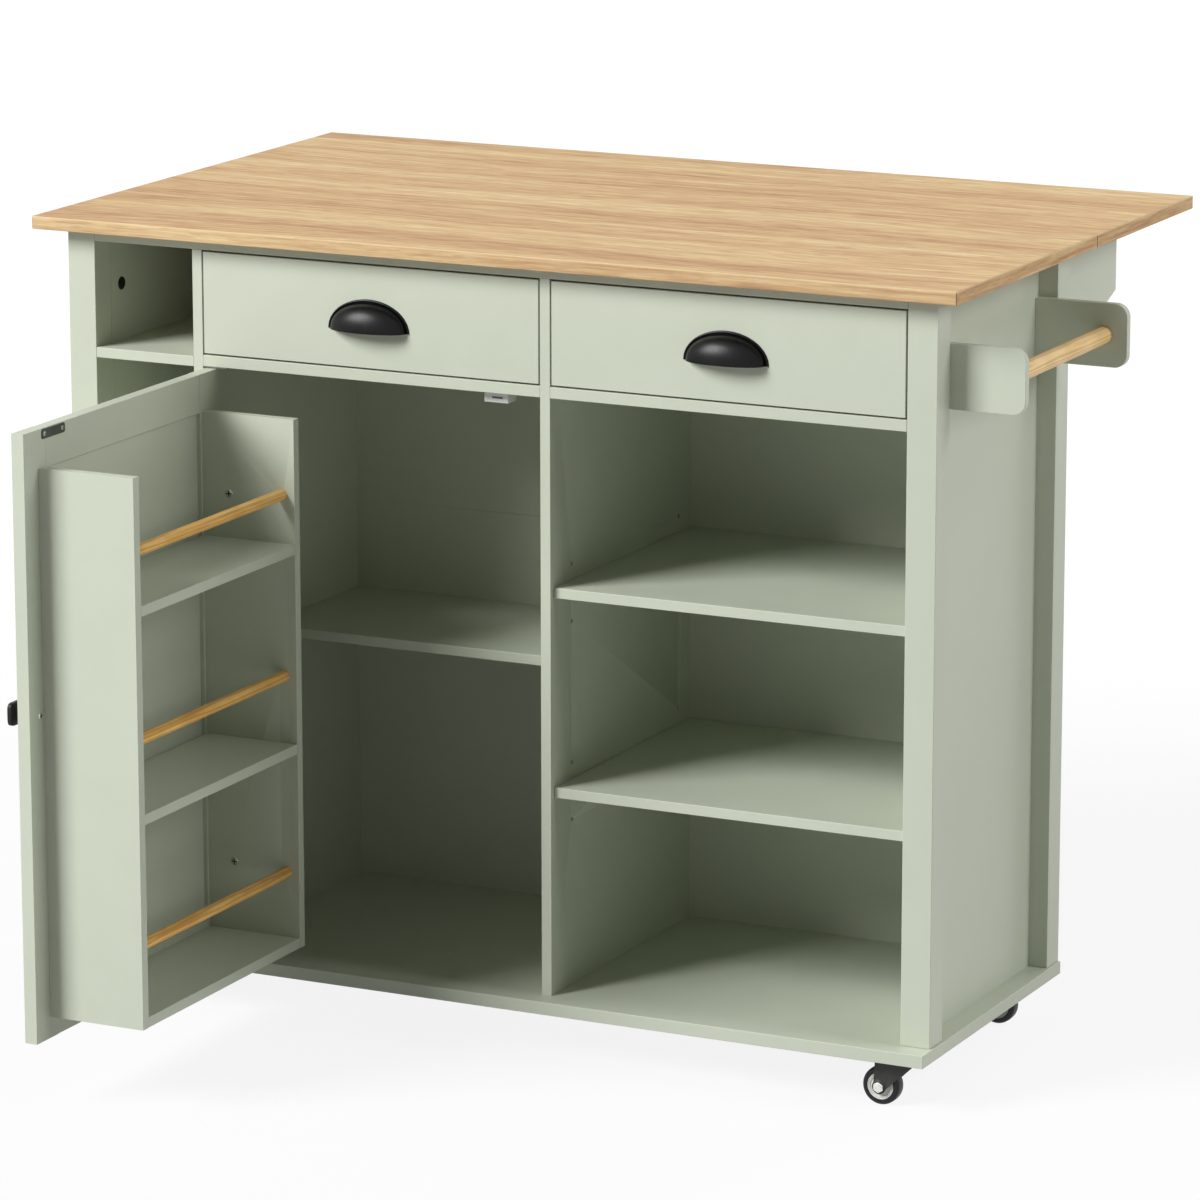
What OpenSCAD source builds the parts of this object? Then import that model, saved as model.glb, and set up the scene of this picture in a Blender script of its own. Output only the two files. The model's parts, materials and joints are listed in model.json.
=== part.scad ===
// Rolling kitchen island with a drop leaf, two drawers, a spice rack door and open shelves.
// Millimetres. +Z is up and the drawers face -Y. The origin is on the floor, under the middle of
// the whole object as it stands at rest: the leaf raised and the spice rack door open.

/* [Carcass] */
// Height of the worktop above the floor
total_h = 920; // [860:1:960]
// Width over the outer faces of the posts
frame_w = 1077; // [960:1:1240]
// Depth over the front and rear faces of the posts
frame_d = 379.5; // [350:0.5:440]
// Side of a square corner post
post_s = 35; // [28:1:40]
// Thickness of the side panels, dividers and shelves
panel_t = 12; // [10:1:15]
// Thickness of the back boards
back_t = 3; // [3:0.5:4]
// Depth of the recess behind the back boards
back_recess = 13; // [13:0.5:20]
// Gap at the seam of the two back boards
back_seam = 0.3; // [0.2:0.1:0.8]
// Height of the seam above the underside of the upper open shelf
back_seam_up = 5; // [2:1:10]
// Clear width of the open column on the left
column_w = 128; // [100:1:160]
// Thickness of the rails over and under the drawers
rail_t = 13; // [10:1:16]
// Depth of the rails over and under the drawers
rail_d = 60; // [50:1:80]

/* [Base board] */
// Thickness of the base board
base_t = 15; // [12:1:20]
// Overhang of the base board in front of the posts
base_front = 26; // [20:1:35]
// Overhang of the base board beside the posts
base_side = 3; // [1:0.5:8]

/* [Worktop and leaf] */
// Thickness of the worktop and of the leaf
top_t = 15; // [12:1:20]
// Overhang of the worktop beside the posts
top_side = 31.5; // [25:0.5:45]
// Overhang of the worktop in front of the posts
top_front = 26; // [20:1:35]
// Overhang of the worktop behind the posts
top_rear = 2; // [1:0.5:2.5]
// Gap at the seam between the worktop and the leaf
seam_gap = 1; // [0.6:0.1:2]
// Depth of the leaf
leaf_d = 303; // [280:1:340]
// Height of the leaf's hinge pin below its underside
leaf_pin_drop = 3; // [3:0.1:4]
// Radius of the leaf hinge's knuckle
leaf_knuckle_r = 2.8; // [2.4:0.1:3]
// Length of a leaf hinge
leaf_hinge_l = 60; // [50:1:90]
// Distance of the outer leaf hinges from the middle
leaf_hinge_x = 400; // [330:1:430]
// Thickness of the hinge plates
hinge_plate_t = 1.5; // [1:0.1:2]
// Width of the leaf hinge's plate under the leaf
hinge_plate_w = 16; // [12:1:24]
// Play between the knuckles of a hinge
knuckle_play = 0.2; // [0.1:0.05:0.4]

/* [Leaf supports] */
// Thickness of a leaf support
support_t = 12; // [9:0.5:12]
// Length of a leaf support
support_l = 235; // [200:1:250]
// Height of a leaf support at its outer end
support_end_h = 90; // [60:1:100]
// Height of a leaf support at its deepest
support_h = 110; // [105:1:120]
// Length of the sloping part at its outer end
support_slope = 52; // [30:1:70]
// Height of the support's front tip
support_tip = 6; // [4:0.5:7]
// Clearance between a support and the rear post
support_gap = 0.9; // [0.6:0.1:2]
// Radius of the support hinge's knuckle
support_knuckle_r = 2.2; // [2:0.1:2.2]
// Distance of the support hinge's pin from the leaf and from the support
support_pin_gap = 2.5; // [2.5:0.1:2.8]
// Length of a support hinge
support_hinge_l = 30; // [24:1:40]
// Distance of the support hinges from the support's ends
support_hinge_in = 40; // [30:1:60]
// Width of the plates that carry the support hinges
support_plate_w = 14; // [10:1:20]
// Thickness of the plates that carry the support hinges
support_plate_t = 1; // [0.8:0.1:1.2]
// Set-back of a support's front end from the leaf's edge
support_set_back = 0.5; // [0.5:0.1:3]

/* [Drawers] */
// Clear height of a drawer opening
drawer_open_h = 120.5; // [100:0.5:150]
// Gap round an inset drawer front
drawer_gap = 2; // [1.5:0.5:4]
// Thickness of a drawer front
drawer_front_t = 15; // [12:1:18]
// Thickness of a drawer's sides and back
drawer_side_t = 12; // [9:1:15]
// Height of a drawer's sides
drawer_side_h = 86; // [60:1:90]
// Room behind a drawer's box
drawer_room = 18.5; // [12:0.5:60]
// Thickness of a drawer's bottom
drawer_bottom_t = 4; // [3:0.5:6]
// Height of a drawer's bottom above the lower edge of its sides
drawer_bottom_up = 4; // [3:0.5:12]
// Room for a runner at each side of a drawer
runner_gap = 12.5; // [12:0.5:14]
// Height of a runner
runner_h = 36; // [30:1:42]
// Set-back of a runner behind the drawer front and from the drawer's end
runner_in = 2; // [1:0.5:6]
// Metal thickness of a runner
runner_t = 1.5; // [1:0.1:2]
// Clearance between the two members of a runner
runner_play = 0.4; // [0.3:0.1:0.8]

/* [Cup pulls] */
// Width of a cup pull
pull_w = 102; // [80:1:120]
// Height of a cup pull
pull_h = 40; // [32:1:50]
// Depth of a cup pull
pull_d = 22; // [18:1:28]
// Wall of a cup pull
pull_t = 1.8; // [1.5:0.1:3]
// Width of a cup pull's back flange
pull_flange = 4; // [2:0.5:6]

/* [Door] */
// Gap round the inset door
door_gap = 2; // [1.5:0.5:3]
// Thickness of the door
door_t = 15; // [14:1:18]
// Width of the door's stiles and rails
door_frame_w = 44.5; // [40:0.5:60]
// Thickness of the door's middle panel
door_panel_t = 6; // [4:0.5:8]
// Distance of the door's pivot from its edge and its face
door_pivot_in = 3.5; // [3.5:0.1:4]
// Radius of the pivot pins
door_pin_r = 1.75; // [1.5:0.05:2]
// Length of the pivot pins
door_pin_l = 9; // [6:0.5:12]
// Play of the pivot pins in their holes
door_pin_play = 0.08; // [0.05:0.01:0.1]
// Thickness of the pivot plates
door_plate_t = 1.4; // [1:0.1:1.4]
// Set-back of the pivot plates from the divider and from the front
door_plate_in = 0.5; // [0.3:0.1:1]
// Length of the pivot plates
door_plate_l = 30; // [20:1:45]
// Width of the pivot plates
door_plate_w = 11; // [8:0.5:14]
// Height of the knob above the door's lower edge
knob_up = 367; // [300:1:450]
// Side of the knob's square head
knob_s = 26; // [20:0.5:32]
// Corner radius of the knob's head
knob_corner = 7; // [3:0.5:9]
// Thickness of the knob's head
knob_head_t = 7; // [4:0.5:9]
// Length of the knob from the door
knob_l = 20; // [16:1:26]
// Radius of the knob's neck
knob_neck_r = 6; // [4:0.5:8]
// Radius of the knob's foot
knob_foot_r = 8.5; // [7:0.5:10]
// Thickness of the knob's foot
knob_foot_t = 2; // [1:0.5:3]

/* [Spice rack] */
// Width of the spice rack
rack_w = 365; // [330:1:380]
// Depth of the spice rack
rack_d = 118; // [80:1:122]
// Distance of the rack's underside above the door's lower edge
rack_foot = 24; // [12:1:36]
// Distance of the rack's top below the door's upper edge
rack_head = 42.5; // [20:0.5:60]
// Thickness of the rack's boards
rack_t = 12; // [9:1:15]
// Height of the lowest rack shelf above the rack's underside
rack_shelf_1 = 0; // [0:1:10]
// Clear height between the lowest and the middle rack shelf
rack_clear_1 = 217; // [190:1:230]
// Clear height between the middle and the upper rack shelf
rack_clear_2 = 220; // [190:1:230]
// Height of the lowest dowel above its shelf
dowel_up_1 = 76; // [30:1:110]
// Height of the middle dowel above its shelf
dowel_up_2 = 78; // [30:1:110]
// Height of the upper dowel above its shelf
dowel_up_3 = 56; // [30:1:75]
// Radius of a dowel
dowel_r = 6.5; // [5:0.5:8]
// Distance of the dowels from the rack's front edge
dowel_in = 16; // [10:1:25]
// Depth of the dowels' blind holes
dowel_hole = 6; // [4:0.5:8]
// Play of a dowel in its hole
dowel_play = 0.15; // [0.1:0.05:0.3]
// Gap between the end of a dowel, bar or shelf pin and the bottom of its hole
rod_end_gap = 0.5; // [0.3:0.1:1]
// Distance of the rack's screws from the door
rack_screw_in = 34; // [15:1:60]
// Distance of the rack's screws above the lowest and below the upper dowel
rack_screw_off = 5; // [0:1:20]

/* [Shelves] */
// Height of the top of the shelf behind the door
bay_shelf_z = 428.5; // [380:0.5:480]
// Room between the spice rack and the shelf behind the door
bay_shelf_room = 4; // [3:0.5:20]
// Height of the top of the upper shelf in the open bay
open_shelf_1 = 543; // [500:1:600]
// Height of the top of the lower shelf in the open bay
open_shelf_2 = 313.5; // [250:0.5:380]
// Set-back of the shelves in the open bay
open_shelf_back = 7.5; // [4:0.5:20]
// Clear height above the fixed shelf in the column
column_clear = 123; // [100:1:160]
// Play of a loose shelf between its walls
shelf_play = 0.5; // [0.3:0.1:1]
// Radius of a shelf pin
pin_r = 2.5; // [2:0.25:3]
// Length of a shelf pin outside its hole
pin_out = 8; // [6:0.5:10]
// Depth of a shelf pin's hole
pin_hole = 7; // [6:0.5:8]
// Play of a shelf pin in its hole
pin_play = 0.1; // [0.05:0.05:0.2]
// Spacing of the shelf pin holes
pin_step = 33; // [32:1:40]
// Distance of the front pin holes from the front of the divider
pin_front = 53.5; // [45:0.5:70]
// Distance of the rear pin holes from the back boards
pin_rear = 31; // [25:1:45]

/* [Towel rail] */
// Height of the towel plates
towel_h = 72; // [60:1:90]
// Reach of the towel plates from the side panel
towel_reach = 110; // [80:1:130]
// Thickness of the towel plates
towel_t = 10; // [8:1:14]
// Corner radius of the towel plates
towel_corner = 15; // [5:1:25]
// Distance of the towel plates below the worktop
towel_drop = 53; // [30:1:100]
// Radius of the towel bar
towel_bar_r = 10; // [7:0.5:12]
// Distance of the towel bar from the side panel
towel_bar_x = 82; // [60:1:90]
// Depth of the towel bar's blind holes
towel_hole = 6; // [4:0.5:7]

/* [Door catch and fittings] */
// Width of the door catch
catch_w = 30; // [24:1:40]
// Depth of the door catch
catch_d = 20; // [14:1:26]
// Height of the door catch
catch_h = 14; // [10:1:16]
// Distance of the catch from the middle divider
catch_in = 48; // [30:1:60]
// Gap between the closed door's strike and the catch
catch_gap = 0.9; // [0.7:0.1:1.5]
// Length of the catch's mounting tab
catch_tab = 6; // [4:0.5:10]
// Thickness of the catch's mounting tab
catch_tab_t = 2; // [1.5:0.5:3]
// Thickness of the strike plate
strike_t = 1.2; // [0.8:0.1:1.5]
// Length of the strike plate
strike_l = 48; // [36:1:60]
// Height of the strike plate
strike_h = 11; // [9:0.5:14]
// Distance of the strike plate below the door's upper edge
strike_drop = 1; // [0.5:0.5:3]
// Radius of the strike plate's screw heads
strike_screw_r = 2.4; // [1.8:0.1:3]
// Height of the strike plate's screw heads
strike_screw_h = 0.5; // [0.3:0.1:0.6]
// Radius of a cam cover
cam_r = 7.5; // [6:0.5:9]
// Thickness of a cam cover
cam_t = 1; // [0.8:0.1:1.5]
// Distance of a cam cover from the post
cam_in = 23; // [15:1:40]
// Distance of a cam cover below the worktop
cam_drop = 71; // [40:1:95]
// Radius of a screw head
screw_r = 3.3; // [2.5:0.1:4]
// Height of a screw head
screw_h = 1.2; // [0.8:0.1:2]

/* [Casters] */
// Height from the floor to the base board
caster_h = 57; // [55:1:70]
// Radius of a caster wheel
wheel_r = 22; // [19:0.5:25]
// Width of a caster wheel
wheel_w = 18; // [14:1:20]
// Trail of a wheel behind its swivel
caster_trail = 18; // [14:0.5:20]
// Distance of a swivel from the base board's ends
caster_in_x = 43.5; // [40:0.5:60]
// Distance of a swivel from the base board's front and rear edges
caster_in_y = 35; // [33:0.5:60]
// Side of a caster's top plate
caster_plate = 42; // [38:1:50]
// Thickness of a caster's top plate
caster_plate_t = 2.5; // [2:0.1:3]
// Metal thickness of a caster fork
fork_t = 2; // [1.5:0.1:2.5]
// Gap between the wheel and each cheek of the fork
fork_play = 1.2; // [0.8:0.1:2]
// Radius of a wheel axle
axle_r = 3; // [2.5:0.1:4]
// Play of the wheel on its axle
axle_play = 0.1; // [0.05:0.01:0.1]
// Gap between the top plate and the fork
swivel_gap = 1; // [0.5:0.1:1.5]
// Radius of the swivel's rivet
rivet_r = 5; // [4:0.5:6]
// Play of the swivel's rivet in the top plate
rivet_play = 0.1; // [0.05:0.01:0.1]
// Radius of the swivel's bearing disc
swivel_r = 16; // [12:1:18]
// Gap between the bearing disc and the top plate
swivel_play = 0.3; // [0.3:0.05:0.4]
// Radius of the fork's cheeks round the axle
cheek_foot_r = 7; // [6:0.5:9]
// Reach of the fork's top behind the axle
cheek_back = 5; // [3:0.5:8]
// Reach of the fork's top in front of the swivel
cheek_front = 20; // [16:0.5:21]
// Height of the fork's straight upper edge
cheek_head = 4; // [2:0.5:6]
// Radius of the axle's hexagon head, over its corners
bolt_r = 6.3; // [5:0.1:7]
// Height of the axle's head and nut
bolt_h = 3; // [2:0.5:4]
// Radius of the wheel's boss
boss_r = 8; // [6.5:0.5:10]
// Radius of the wheel's hub
hub_r = 15.5; // [12:0.5:17]
// Depth of the step between the boss and the hub's rim
hub_dish = 1.6; // [0.5:0.1:3]
// Radius of the tyre's shoulders
tyre_round = 3.5; // [1:0.5:5]

/* [Hidden] */

sage = "#c3cab6";
oak = "#c9a982";
beech = "#dcb37c";
black = "#202124";
steel = "#b9bbbd";

base_w = frame_w + 2 * base_side;
base_d = base_front + frame_d;
y0 = -base_d / 2;
yf = y0 + base_front;
yr = yf + frame_d;
x_in = frame_w / 2 - post_s;
back_y = yr - back_recess - back_t;
back_rear = back_y + back_t;
base_top = caster_h + base_t;
top_z = total_h - top_t;
rail_z = top_z - rail_t;
open_z = rail_z - drawer_open_h;
deck_z = open_z - rail_t;
carcass_h = top_z - base_top;

// The two bays share what the column and the dividers leave.
div1_x = -x_in + column_w;
bay_w = (2 * x_in - column_w - 2 * panel_t) / 2;
bay1_x = div1_x + panel_t;
div2_x = bay1_x + bay_w;
bay2_x = div2_x + panel_t;
side_y0 = yf + post_s;
side_y1 = yr - post_s;

towel_z = top_z - towel_drop;

pin_ys = [yf + pin_front, back_y - pin_rear];
open_tops = [open_shelf_1, open_shelf_2];

leaf_y0 = yr + top_rear + seam_gap;
leaf_pin_y = yr + top_rear + seam_gap / 2;
leaf_pin_z = top_z - leaf_pin_drop;
top_w = frame_w + 2 * top_side;

support_x1 = x_in - support_gap;
support_x0 = support_x1 - support_t;

door_w = bay_w - 2 * door_gap;
door_z0 = base_top + door_gap;
door_z1 = deck_z - door_gap;
door_x0 = bay1_x + door_gap;
pivot_x = door_x0 + door_pivot_in;
pivot_y = yf + door_pivot_in;
rack_x = (door_w - rack_w) / 2;

drawer_l = back_y - drawer_room - yf - drawer_front_t;
drawer_w = bay_w - 2 * drawer_gap;
drawer_h = drawer_open_h - 2 * drawer_gap;
drawer_z = open_z + drawer_gap;
box_w = bay_w - 2 * runner_gap;
box_z = open_z + (drawer_open_h - drawer_side_h) / 2;
runner_z = open_z + (drawer_open_h - runner_h) / 2;
rail_inner_t = runner_gap - runner_t - runner_play;

axle_z = wheel_r;
fork_w = wheel_w + 2 * fork_play + 2 * fork_t;
fork_top = caster_h - caster_plate_t - swivel_gap;
swivels = [
  [-base_w / 2 + caster_in_x, y0 + caster_in_y],
  [base_w / 2 - caster_in_x, y0 + caster_in_y],
  [-base_w / 2 + caster_in_x, y0 + base_d - caster_in_y],
  [base_w / 2 - caster_in_x, y0 + base_d - caster_in_y]
];

// The origin is under the middle of everything, with the door open and the leaf up.
origin_x = (x_in + panel_t + towel_reach - top_w / 2) / 2;
origin_y = (pivot_y + door_pivot_in - door_w + leaf_y0 + leaf_d) / 2;

module placed() {
  translate([-origin_x, -origin_y, 0]) children();
}

module board(x0, y0, z0, dx, dy, dz) {
  translate([x0, y0, z0]) cube([dx, dy, dz]);
}

module rod_x(x0, y0, z0, r, l) {
  translate([x0, y0, z0]) rotate([0, 90, 0]) cylinder(r = r, h = l, $fn = 48);
}

module rod_y(x0, y0, z0, r, l) {
  translate([x0, y0, z0]) rotate([-90, 0, 0]) cylinder(r = r, h = l, $fn = 48);
}

// ---- worktop, rails, posts and panels ----

module worktop() {
  color(oak)
    board(-top_w / 2, yf - top_front, top_z, top_w, top_front + frame_d + top_rear, top_t);
}

module top_rail_front() {
  color(sage) board(-x_in, yf, rail_z, 2 * x_in, rail_d, rail_t);
}

module top_rail_rear() {
  color(sage) board(-x_in, back_y - rail_d, rail_z, 2 * x_in, rail_d, rail_t);
}

module post(sx, y) {
  x = sx < 0 ? -frame_w / 2 : x_in;
  color(sage) board(x, y, base_top, post_s, post_s, carcass_h);
}

// A row of three blind holes at each shelf, for a shelf that rests on pins.
module pin_holes(x, dir) {
  for (y = pin_ys, top = open_tops, k = [-1, 0, 1]) {
    z = top - panel_t - pin_r + k * pin_step;
    rod_x(dir > 0 ? x - 0.01 : x - pin_hole, y, z, pin_r + pin_play, pin_hole + 0.01);
  }
}

module side_panel(sx) {
  x = sx < 0 ? -x_in - panel_t : x_in;
  color(sage) difference() {
    board(x, side_y0, base_top, panel_t, side_y1 - side_y0, carcass_h);
    if (sx < 0) pin_holes(-x_in + 0.01, -1);
    if (sx > 0) pin_holes(x_in, 1);
  }
}

module divider(x, left_holes, right_holes) {
  color(sage) difference() {
    board(x, yf, base_top, panel_t, back_y - yf, rail_z - base_top);
    if (left_holes) pin_holes(x, 1);
    if (right_holes) pin_holes(x + panel_t + 0.01, -1);
  }
}

module drawer_rails() {
  color(sage) {
    board(bay1_x, yf, deck_z, bay_w, rail_d, rail_t);
    board(bay2_x, yf, deck_z, bay_w, rail_d, rail_t);
  }
}

// Two thin boards meet on the seam seen behind the door.
module back_boards() {
  seam = open_shelf_1 - panel_t + back_seam_up;
  color(sage) {
    board(-x_in, back_y, base_top, 2 * x_in, back_t, seam - back_seam - base_top);
    board(-x_in, back_y, seam, 2 * x_in, back_t, top_z - seam);
  }
}

module base_board() {
  color(sage) board(-base_w / 2, y0, caster_h, base_w, base_d, base_t);
}

// ---- shelves ----

module column_shelves() {
  color(sage) {
    board(-x_in, yf, rail_z - column_clear - panel_t, column_w, back_y - yf, panel_t);
    for (top = open_tops)
      board(-x_in + shelf_play, yf + open_shelf_back, top - panel_t,
            column_w - 2 * shelf_play, back_y - yf - open_shelf_back - shelf_play, panel_t);
  }
}

module bay_shelf() {
  front = yf + door_t + rack_d + bay_shelf_room;
  color(sage) board(bay1_x, front, bay_shelf_z - panel_t, bay_w, back_y - front, panel_t);
}

module open_shelves() {
  color(sage) for (top = open_tops)
    board(bay2_x + shelf_play, yf + open_shelf_back, top - panel_t,
          bay_w - 2 * shelf_play, back_y - yf - open_shelf_back - shelf_play, panel_t);
}

// Each loose shelf lies on four pins.
module shelf_pins() {
  l = pin_out + pin_hole - rod_end_gap;
  color(steel) for (top = open_tops, y = pin_ys) {
    z = top - panel_t - pin_r;
    rod_x(-x_in - pin_hole + rod_end_gap, y, z, pin_r, l);
    rod_x(div1_x - pin_out, y, z, pin_r, l);
    rod_x(bay2_x - pin_hole + rod_end_gap, y, z, pin_r, l);
    rod_x(x_in - pin_out, y, z, pin_r, l);
  }
}

module cam_covers() {
  color(black) for (y = [side_y0 + cam_in, side_y1 - cam_in])
    rod_x(-x_in, y, top_z - cam_drop, cam_r, cam_t);
}

// ---- towel rail ----

// A plate with two round corners, and a blind hole in the face that mouth names: 0 rear, 1 front.
module towel_plate(y, mouth) {
  translate([x_in + panel_t, y + towel_t, towel_z - towel_h]) rotate([90, 0, 0]) difference() {
    linear_extrude(towel_t) union() {
      square([towel_reach - towel_corner, towel_h]);
      translate([0, towel_corner]) square([towel_reach, towel_h - 2 * towel_corner]);
      for (v = [towel_corner, towel_h - towel_corner])
        translate([towel_reach - towel_corner, v]) circle(r = towel_corner, $fn = 64);
    }
    translate([towel_bar_x, towel_h / 2, mouth == 1 ? towel_t - towel_hole : -0.01])
      cylinder(r = towel_bar_r + dowel_play, h = towel_hole + 0.01, $fn = 64);
  }
}

module towel_plates() {
  color(sage) {
    towel_plate(side_y0, 0);
    towel_plate(side_y1 - towel_t, 1);
  }
}

module towel_bar() {
  y = side_y0 + towel_t - towel_hole + rod_end_gap;
  l = side_y1 - side_y0 - 2 * (towel_t - towel_hole + rod_end_gap);
  color(beech) translate([x_in + panel_t + towel_bar_x, y, towel_z - towel_h / 2])
    rotate([-90, 0, 0]) cylinder(r = towel_bar_r, h = l, $fn = 64);
}

// ---- leaf and its supports ----

module leaf_hinge_xs() {
  for (x = [-leaf_hinge_x, 0, leaf_hinge_x]) translate([x - leaf_hinge_l / 2, 0, 0]) children();
}

// The fixed plates and the middle knuckle of each leaf hinge.
module leaf_hinge_plates() {
  y1 = leaf_pin_y - seam_gap / 2;
  third = leaf_hinge_l / 3;
  color(steel) leaf_hinge_xs() {
    board(0, back_rear, top_z - hinge_plate_t, leaf_hinge_l,
          y1 - back_rear - leaf_knuckle_r, hinge_plate_t);
    board(third + knuckle_play, y1 - leaf_knuckle_r - 0.01, top_z - hinge_plate_t,
          third - 2 * knuckle_play, leaf_knuckle_r + seam_gap / 2, hinge_plate_t);
    rod_x(third + knuckle_play, leaf_pin_y, leaf_pin_z, leaf_knuckle_r,
          third - 2 * knuckle_play);
  }
}

module drop_leaf() {
  color(oak) board(-top_w / 2, leaf_y0, top_z, top_w, leaf_d, top_t);
}

// The moving plates and the outer knuckles of each leaf hinge.
module leaf_hinge_leaves() {
  third = leaf_hinge_l / 3;
  color(steel) leaf_hinge_xs() {
    board(0, leaf_y0 + leaf_knuckle_r, top_z - hinge_plate_t, leaf_hinge_l, hinge_plate_w,
          hinge_plate_t);
    for (x = [0, 2 * third]) {
      board(x, leaf_pin_y, top_z - hinge_plate_t, third,
            leaf_y0 + leaf_knuckle_r - leaf_pin_y + 0.01, hinge_plate_t);
      rod_x(x, leaf_pin_y, leaf_pin_z, leaf_knuckle_r, third);
    }
  }
}

support_hinge_ys = [
  leaf_y0 + support_hinge_in, leaf_y0 + support_l - support_hinge_in - support_hinge_l
];

// Plates under the leaf that carry the supports' pins.
module support_hinges() {
  pin_z = top_z - support_pin_gap;
  color(steel) for (s = [-1, 1], y = support_hinge_ys) {
    px = s * (support_x0 - support_pin_gap);
    board(px - (s > 0 ? support_plate_w : 0), y, top_z - support_plate_t, support_plate_w,
          support_hinge_l, support_plate_t);
    rod_y(px, y, pin_z, support_knuckle_r, support_hinge_l);
  }
}

// Side view of a support: flat under the leaf, cut back in front so that it clears the back boards.
module support(s) {
  x = s > 0 ? support_x0 : -support_x1;
  color(sage) translate([x, leaf_y0, top_z]) rotate([90, 0, 90]) linear_extrude(support_t)
    polygon([
      [support_set_back, 0], [support_l, 0], [support_l, -support_end_h],
      [support_l - support_slope, -support_h], [support_h - support_tip, -support_h],
      [support_set_back, -support_tip]
    ]);
}

// ---- door and spice rack ----

// The door is drawn shut and then swung open by a quarter turn, as it stands at rest.
module swung() {
  translate([pivot_x, pivot_y, 0]) rotate([0, 0, -90]) translate([-pivot_x, -pivot_y, 0])
    children();
}

module door_pivot_plates() {
  color(steel) {
    board(bay1_x + door_plate_in, yf + door_plate_in, deck_z - door_plate_t, door_plate_l,
          door_plate_w, door_plate_t);
    translate([pivot_x, pivot_y, deck_z - door_plate_t - door_pin_l])
      cylinder(r = door_pin_r, h = door_pin_l + 0.01, $fn = 32);
    board(bay1_x + door_plate_in, yf + door_plate_in, base_top, door_plate_l, door_plate_w,
          door_plate_t);
    translate([pivot_x, pivot_y, base_top + door_plate_t - 0.01])
      cylinder(r = door_pin_r, h = door_pin_l + 0.01, $fn = 32);
  }
}

module door_stiles() {
  h = door_z1 - door_z0;
  color(sage) swung() {
    difference() {
      board(door_x0, yf, door_z0, door_frame_w, door_t, h);
      for (z = [door_z0 - 0.01, door_z1 - door_pin_l])
        translate([pivot_x, pivot_y, z])
          cylinder(r = door_pin_r + door_pin_play, h = door_pin_l + 0.01, $fn = 32);
    }
    board(door_x0 + door_w - door_frame_w, yf, door_z0, door_frame_w, door_t, h);
  }
}

module door_rails() {
  color(sage) swung() for (z = [door_z0, door_z1 - door_frame_w])
    board(door_x0 + door_frame_w, yf, z, door_w - 2 * door_frame_w, door_t, door_frame_w);
}

module door_panel() {
  color(sage) swung()
    board(door_x0 + door_frame_w, yf + (door_t - door_panel_t) / 2, door_z0 + door_frame_w,
          door_w - 2 * door_frame_w, door_panel_t, door_z1 - door_z0 - 2 * door_frame_w);
}

rack_z = door_z0 + rack_foot;
rack_h = door_z1 - rack_head - rack_z;
rack_tops = [
  rack_z + rack_shelf_1 + rack_t,
  rack_z + rack_shelf_1 + rack_clear_1 + 2 * rack_t,
  rack_z + rack_shelf_1 + rack_clear_1 + rack_clear_2 + 3 * rack_t
];
dowel_zs = [rack_tops[0] + dowel_up_1, rack_tops[1] + dowel_up_2, rack_tops[2] + dowel_up_3];
rack_x0 = door_x0 + rack_x;
rack_y0 = yf + door_t;
dowel_y = rack_y0 + rack_d - dowel_in;
rack_in = rack_w - 2 * rack_t;

module rack_sides() {
  color(sage) swung() {
    difference() {
      board(rack_x0, rack_y0, rack_z, rack_t, rack_d, rack_h);
      for (z = dowel_zs)
        rod_x(rack_x0 + rack_t - dowel_hole, dowel_y, z, dowel_r + dowel_play, dowel_hole + 1);
    }
    difference() {
      board(rack_x0 + rack_w - rack_t, rack_y0, rack_z, rack_t, rack_d, rack_h);
      for (z = dowel_zs)
        rod_x(rack_x0 + rack_w - rack_t - 1, dowel_y, z, dowel_r + dowel_play, dowel_hole + 1);
    }
  }
}

module rack_shelves() {
  color(sage) swung() for (z = rack_tops)
    board(rack_x0 + rack_t, rack_y0, z - rack_t, rack_in, rack_d, rack_t);
}

module rack_dowels() {
  color(beech) swung() for (z = dowel_zs)
    rod_x(rack_x0 + rack_t - dowel_hole + rod_end_gap, dowel_y, z, dowel_r,
          rack_in + 2 * (dowel_hole - rod_end_gap));
}

knob_x = door_x0 + door_w - door_frame_w / 2;
knob_z = door_z0 + knob_up;

// A square with round corners, centred.
module round_square(side, r) {
  square([side - 2 * r, side], center = true);
  square([side, side - 2 * r], center = true);
  for (u = [-1, 1], v = [-1, 1]) translate([u * (side / 2 - r), v * (side / 2 - r)])
    circle(r = r, $fn = 48);
}

module door_knob() {
  color(black) swung() translate([knob_x, yf, knob_z]) rotate([90, 0, 0]) {
    cylinder(r = knob_foot_r, h = knob_foot_t, $fn = 64);
    cylinder(r = knob_neck_r, h = knob_l - knob_head_t / 2, $fn = 64);
    translate([0, 0, knob_l - knob_head_t]) linear_extrude(knob_head_t)
      round_square(knob_s, knob_corner);
  }
}

strike_x = div2_x - catch_in - catch_w / 2;
strike_z = door_z1 - strike_h / 2 - strike_drop;

module strike_plate() {
  color(black) swung() translate([strike_x, yf + door_t, strike_z]) rotate([-90, 0, 0])
    linear_extrude(strike_t) union() {
      square([strike_l - strike_h, strike_h], center = true);
      for (s = [-1, 1]) translate([s * (strike_l - strike_h) / 2, 0])
        circle(r = strike_h / 2, $fn = 48);
    }
}

module door_catch() {
  y = yf + door_t + strike_t + catch_gap;
  color("#eeeeec") {
    board(strike_x - catch_w / 2, y, deck_z - catch_h, catch_w, catch_d, catch_h);
    board(strike_x - catch_w / 2 - catch_tab, y + catch_d / 4, deck_z - catch_tab_t, catch_tab,
          catch_d / 2, catch_tab_t);
  }
}

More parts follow.
